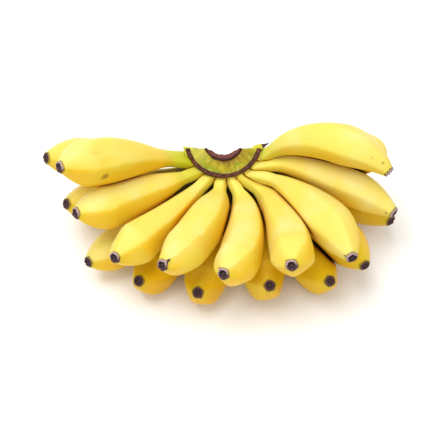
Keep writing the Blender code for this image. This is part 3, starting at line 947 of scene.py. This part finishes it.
# radius from the crown's axis and height along it
CRESCENT_SECTION = (
    (CUT_RADIUS, -0.6),
    (CUT_RADIUS + 5.0, -0.1),
    (RIM_RADIUS - 4.4, -0.3),
    (RIM_RADIUS - 2.0, -1.0),
    (RIM_RADIUS - 0.8, -3.0),
    (RIM_RADIUS + 1.6, -5.6),
    (RIM_RADIUS + 2.4, -10.0),
    (RIM_RADIUS + 21.5, -16.5),
    (RIM_RADIUS + 23.0, -19.0),
    (RIM_RADIUS + 21.5, -21.5),
    (RIM_RADIUS - 0.4, -25.0),
    (RIM_RADIUS - 3.0, -27.0),
    (RIM_RADIUS - 8.0, -CROWN_DEPTH),
    (CUT_RADIUS + 0.6, -CROWN_DEPTH + 1.0),
    (CUT_RADIUS - 0.8, -14.0),
)


def crown_place(points):
    """Each point as radius from the axis, arc length at the rim and height along the axis."""
    rel = points - CROWN_CENTRE
    x, down, up = rel @ CROWN_RIGHT, rel @ CROWN_DOWN, rel @ CROWN_AXIS
    return np.stack([np.hypot(x, down), np.arctan2(x, down) * RIM_RADIUS, up], axis=1)


print("the crown's section has", len(CRESCENT_SECTION), "points")

# %% Turning a section
ENDS_BELOW = 6.2
ENDS_TILT = 12.0
END_INSETS = ((0.5, 0.35), (0.8, 0.25))


def turned(section, steps, cuts, smoothing):
    """A closed section of points (radius, height along the axis), turned round the crown's axis."""
    bm = bmesh.new()
    corners = [bm.verts.new(crown_point(-CROWN_HALF_ARC, r, -a)) for r, a in section]
    outline = [bm.edges.new((corners[k - 1], corners[k])) for k in range(len(corners))]
    bmesh.ops.subdivide_edges(bm, edges=outline, cuts=cuts)
    for _ in range(smoothing):
        axes = {"use_axis_x": True, "use_axis_y": True, "use_axis_z": True}
        bmesh.ops.smooth_vert(bm, verts=bm.verts, factor=0.5, **axes)
    turn = {"cent": CROWN_CENTRE, "axis": CROWN_AXIS, "angle": math.radians(2.0 * CROWN_HALF_ARC)}
    bmesh.ops.spin(bm, geom=bm.verts[:] + bm.edges[:], steps=steps, **turn)
    return bm


def cut_ends(bm):
    """Both ends of a crescent cut by one slanted plane and closed."""
    bmesh.ops.bisect_plane(
        bm,
        geom=bm.verts[:] + bm.edges[:] + bm.faces[:],
        plane_co=CROWN_CENTRE + ENDS_BELOW * CROWN_DOWN,
        plane_no=direction(180.0, 90.0 - CROWN_RISE - ENDS_TILT),
        clear_outer=True,
    )
    open_edges = [edge for edge in bm.edges if len(edge.link_faces) == 1]
    caps = bmesh.ops.holes_fill(bm, edges=open_edges)["faces"]
    bmesh.ops.recalc_face_normals(bm, faces=bm.faces)
    if bm.calc_volume(signed=True) < 0.0:
        bmesh.ops.reverse_faces(bm, faces=bm.faces)
    for thickness, depth in END_INSETS:
        bmesh.ops.inset_region(bm, faces=caps, thickness=thickness, depth=depth)
    bm.normal_update()


# %% Roughening and placing a crescent
CRESCENT_WIDENED = 1.04
CRESCENT_LEFT = 1.3
WEB_HALF_ARC = math.radians(50.0)
WEB_FADE = 0.2
WEB_STARTS = RIM_RADIUS + 2.4
GRAIN_WAVES = 12


def grain_height(place, grain_mm, rng):
    """A rough skin's height over the smooth one, as a sum of waves of about one size."""
    height = np.zeros(len(place))
    for octave in range(GRAIN_WAVES):
        wave = rng.normal(size=3) / grain_mm / (0.6 + 0.1 * octave)
        height += np.sin(place @ wave + rng.uniform(0.0, 2.0 * math.pi))
    return height / math.sqrt(GRAIN_WAVES / 2)


def crescent(name, section, steps, cuts, smoothing, roughness_mm, grain_mm, seed):
    """A piece of the crown: a section turned, cut at both ends, roughened and put in its place."""
    bm = turned(section, steps, cuts, smoothing)
    cut_ends(bm)
    co = np.array([vert.co[:] for vert in bm.verts])
    normals = np.array([vert.normal[:] for vert in bm.verts])
    place = crown_place(co)
    outward = unit(co - CROWN_CENTRE - place[:, 2:] * CROWN_AXIS)
    past_necks = np.clip((np.abs(place[:, 1]) / RIM_RADIUS - WEB_HALF_ARC) / WEB_FADE, 0.0, 1.0)
    drawn_in = np.clip(place[:, 0] - WEB_STARTS, 0.0, None) * past_necks
    co -= drawn_in[:, None] * outward
    rough = roughness_mm * grain_height(place, grain_mm, np.random.default_rng(seed))
    co += normals * rough[:, None]
    co[:, 0] = CROWN_CENTRE[0] + CRESCENT_WIDENED * (co[:, 0] - CROWN_CENTRE[0]) - CRESCENT_LEFT
    for vert, point in zip(bm.verts, co):
        vert.co = point * MM
    mesh = bpy.data.meshes.new(name)
    bm.to_mesh(mesh)
    bm.free()
    mesh.shade_smooth()
    place[:, 0] -= drawn_in
    write_attribute(mesh, "place", place)
    piece = bpy.data.objects.new(name, mesh)
    scene.collection.objects.link(piece)
    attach(piece, "root")
    return piece


crown = crescent(
    "crown_pad", CRESCENT_SECTION, steps=130, cuts=7, smoothing=5, roughness_mm=0.12, grain_mm=5.0, seed=11
)
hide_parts("crown")
print("crown pad", len(crown.data.polygons), "faces")

# %% Crown's finish
pad = Finish("crown skin", Specular_IOR_Level=0.2, Subsurface_Weight=0.05, Subsurface_Scale=0.002)
pad_place = pad.attribute("place", "Vector")
radius_mm = pad.part(pad_place, "X")
arc_mm = pad.part(pad_place, "Y")
height_mm = pad.part(pad_place, "Z")
rays = pad.noise(pad.stretched(pad_place, (0.22, 0.8, 0.3)), 0.30, 3.0, 0.55)
clouds = pad.noise(pad_place, 0.11, 2.0)
patches = pad.noise(pad_place, 0.20, 3.0, 0.55)
pad.colour = pad.mix(pad.step(rays, 0.30, 0.70), tint(152, 140, 20), tint(184, 174, 44))
pad.paint(pad.step(clouds, 0.48, 0.64) * 0.7, tint(132, 156, 34))
pad.paint(pad.step(patches, 0.52, 0.70) * 0.5, tint(206, 198, 92))
near_cut = pad.step(radius_mm + (rays - 0.5) * 8.0 + (patches - 0.5) * 16.0, 23.0, 15.5)
near_cut = near_cut * (pad.step(arc_mm, -16.0, 2.0) * pad.step(arc_mm, 36.0, 22.0) * 0.8 + 0.2)
pad.paint(near_cut * 0.85, tint(146, 106, 34))
browned = pad.step(patches, 0.46, 0.62) * near_cut
pad.paint(browned * 0.7, tint(104, 60, 24))
pad.paint(pad.step(arc_mm, -16.0, -32.0) * 0.45, tint(222, 212, 104))
# painted highlight: a faint pale line just inside the rim
rim_highlight = pad.step(radius_mm, RIM_RADIUS - 4.6, RIM_RADIUS - 4.0)
pad.paint(rim_highlight * pad.step(patches, 0.40, 0.60) * 0.3, tint(206, 208, 140))
walls = pad.step(height_mm, -2.0, -4.5)
pad.paint(walls * 0.8, tint(222, 216, 76))
grooved = pad.step(pad.noise(pad.stretched(pad_place, (0.0, 1.0, 0.0)), 0.45, 2.0), 0.42, 0.30) * walls
pad.paint(grooved * 0.5, tint(190, 120, 30))
# painted shade on the wedge of stem tissue between the lower necks
shade_between_necks = pad.step(radius_mm, RIM_RADIUS + 2.6, RIM_RADIUS + 4.5)
pad.paint(shade_between_necks * 0.9, tint(62, 30, 16))
cut_wall = pad.step(radius_mm, 15.6, 14.6) * pad.step(height_mm, 0.0, -0.8)
pad.paint(cut_wall, tint(92, 50, 34))
pad.close(0.45 + rays * 0.3, rays, 0.45)
crown.data.materials.append(pad.material)
print("crown skin", len(pad.tree.nodes), "nodes")

# %% [markdown]
# ## Rim
#
# Round the crown's face runs the scar of the leaf that once covered the hand: a dried red-brown band
# with two ridges and a groove between them. It is turned round the same axis, with a rougher skin.

# %% Rim
# radius past the rim's and height along the axis
RIM_OUTLINE = (
    (-3.2, -0.9), (-3.0, 0.2), (-2.5, 0.9), (-2.2, 0.8), (-1.7, 0.4),
    (-1.1, 0.7), (-0.1, 0.6), (0.4, -0.3), (0.2, -1.8), (-1.4, -2.8),
)
RIM_SECTION = [(RIM_RADIUS + out, height) for out, height in RIM_OUTLINE]
rim = crescent(
    "crown_rim", RIM_SECTION, steps=180, cuts=3, smoothing=2, roughness_mm=0.16, grain_mm=2.2, seed=12
)

bark = Finish("leaf scar", Roughness=0.7)
bark_place = bark.attribute("place", "Vector")
bark_radius = bark.part(bark_place, "X")
bark_grain = bark.noise(bark.stretched(bark_place, (1.0, 0.25, 1.0)), 1.4, 4.0, 0.7)
blotches = bark.noise(bark_place, 0.25, 2.0)
bark.colour = bark.mix(bark.step(bark_grain, 0.3, 0.75), tint(38, 10, 4), tint(104, 44, 18))
middle = bark.step(bark_radius, RIM_RADIUS - 2.6, RIM_RADIUS - 1.9)
middle = middle * bark.step(bark_radius, RIM_RADIUS - 0.9, RIM_RADIUS - 1.5)
bark.paint(middle * bark.step(blotches, 0.42, 0.60) * 0.6, tint(146, 88, 62))
bark.close(0.55 + bark_grain * 0.3, bark_grain, 0.5)
rim.data.materials.append(bark.material)
print("rim", len(rim.data.polygons), "faces")

# %% [markdown]
# ## Cut
#
# Where the hand was cut from the stem the flesh has dried: a dark, ragged lip in front, and behind it
# a reddish wall that runs back along the crown's axis. It is one more turned section, with the
# coarsest skin of all.

# %% Cut
# radius past the cut's and height along the axis
CUT_OUTLINE = (
    (0.6, -0.5), (0.4, 0.5), (-0.2, 0.8), (-0.8, 0.1), (-1.5, -6.0), (-1.9, -14.0), (-1.2, -22.0),
    (-0.3, -CROWN_DEPTH + 0.4), (0.9, -CROWN_DEPTH), (1.2, -CROWN_DEPTH + 2.0), (0.6, -14.0),
)
CUT_SECTION = [(CUT_RADIUS + out, height) for out, height in CUT_OUTLINE]
cut = crescent(
    "crown_cut", CUT_SECTION, steps=160, cuts=9, smoothing=1, roughness_mm=0.32, grain_mm=2.4, seed=13
)

dry_cut = Finish("dried cut", Roughness=0.8)
cut_place = dry_cut.attribute("place", "Vector")
cut_height = dry_cut.part(cut_place, "Z")
cut_grain = dry_cut.noise(dry_cut.stretched(cut_place, (1.0, 1.0, 0.25)), 0.9, 5.0, 0.7)
dry_cut.colour = dry_cut.mix(dry_cut.step(cut_grain, 0.3, 0.7), tint(70, 16, 14), tint(150, 62, 46))
front_lip = dry_cut.step(cut_height + (cut_grain - 0.5) * 3.0, -2.0, -0.2)
back_lip = dry_cut.step(cut_height + (cut_grain - 0.5) * 12.0, -15.0, -23.0)
dry_cut.paint(front_lip * 0.92, tint(58, 18, 16))
dry_cut.paint(back_lip * 0.85, tint(40, 14, 12))
dry_cut.close(0.6 + cut_grain * 0.35, cut_grain, 0.9)
cut.data.materials.append(dry_cut.material)
print("cut", len(cut.data.polygons), "faces")

# %% [markdown]
# ## Stunted finger
#
# At the crown's right end one finger never filled. It is a green stub with a dry black point, bent
# from the same kind of straight tube.

# %% Stunted finger
STUNTED_SLOT = 72.0
STUNTED_BACK = 3.5
STUNTED_HEADING = 108.0
STUNTED_RISE = 20.0
STUNTED_LENGTH = 12.5
STUNTED_RADII = (3.2, 3.0, 2.6, 1.9, 1.0, 0.6)
STUNTED_BEND = 1.2
STUNTED_RIDGES = 0.07
STUNTED_PATTERN = 15.0
STUB_SIDES = 32
STUB_RINGS = 40
GREEN_SHARE = 0.62
OVERLAP_SHARE = 0.14
POINT_THINNER = 0.25
straight_stub = straight_tube(STUB_SIDES, STUB_RINGS)


def stub(name, first, last, swell):
    """The stretch of the stunted finger from one share of its length to another."""
    way = direction(STUNTED_HEADING, STUNTED_RISE)
    side = unit(np.cross(way, CROWN_AXIS))
    inner = np.cross(side, way)
    share = np.linspace(first, last, STUB_RINGS)
    radius = np.interp(share, np.linspace(0.0, 1.0, len(STUNTED_RADII)), STUNTED_RADII) + swell
    radius = radius * np.sqrt(np.clip((last - share) / (last - first) * 6.0, 0.02, 1.0))
    centres = crown_point(STUNTED_SLOT, ROOT_RADIUS, STUNTED_BACK) + STUNTED_LENGTH * share[:, None] * way
    centres = centres + (STUNTED_BEND * share**2)[:, None] * CROWN_AXIS
    angle = np.arange(STUB_SIDES) * 2.0 * math.pi / STUB_SIDES
    outward = around(angle, side, inner)
    reach = radius[:, None] * (1.0 + STUNTED_RIDGES * np.cos(RIDGES * angle))[None]
    skin = centres[:, None] + reach[..., None] * outward[None]
    flat = np.zeros((STUB_RINGS, STUB_SIDES))
    straight = [reach * np.cos(angle), reach * np.sin(angle), flat + STUNTED_PATTERN * share[:, None]]
    straight = np.stack(straight, axis=-1)
    values = {"straight": straight, "along": flat + 0.12, "nearness": flat, "painted_light": flat + 0.5}
    values.update(unripe=flat + 1.0, bruised=flat, covered=flat, inward=flat, bleached=flat, petals=flat)
    piece = bent(name, straight_stub, STUB_SIDES, skin, values)
    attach(piece, "root")
    return piece


stub_body = stub("stunted_finger", 0.0, GREEN_SHARE, 0.0)
stub_body.data.materials.append(upper_peel)
stub_point = stub("stunted_finger_point", GREEN_SHARE - OVERLAP_SHARE, 1.0, -POINT_THINNER)
stub_point.data.materials.append(dried.material)
print("stunted finger", STUNTED_LENGTH, "mm long")

# %% [markdown]
# ## Sizes
#
# The finer pieces have to fill the same box as the imported model. The box of the pieces that render is
# printed in millimetres.

# %% Sizes
low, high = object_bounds()
print("visual in mm", [round(side / MM, 1) for side in high - low])
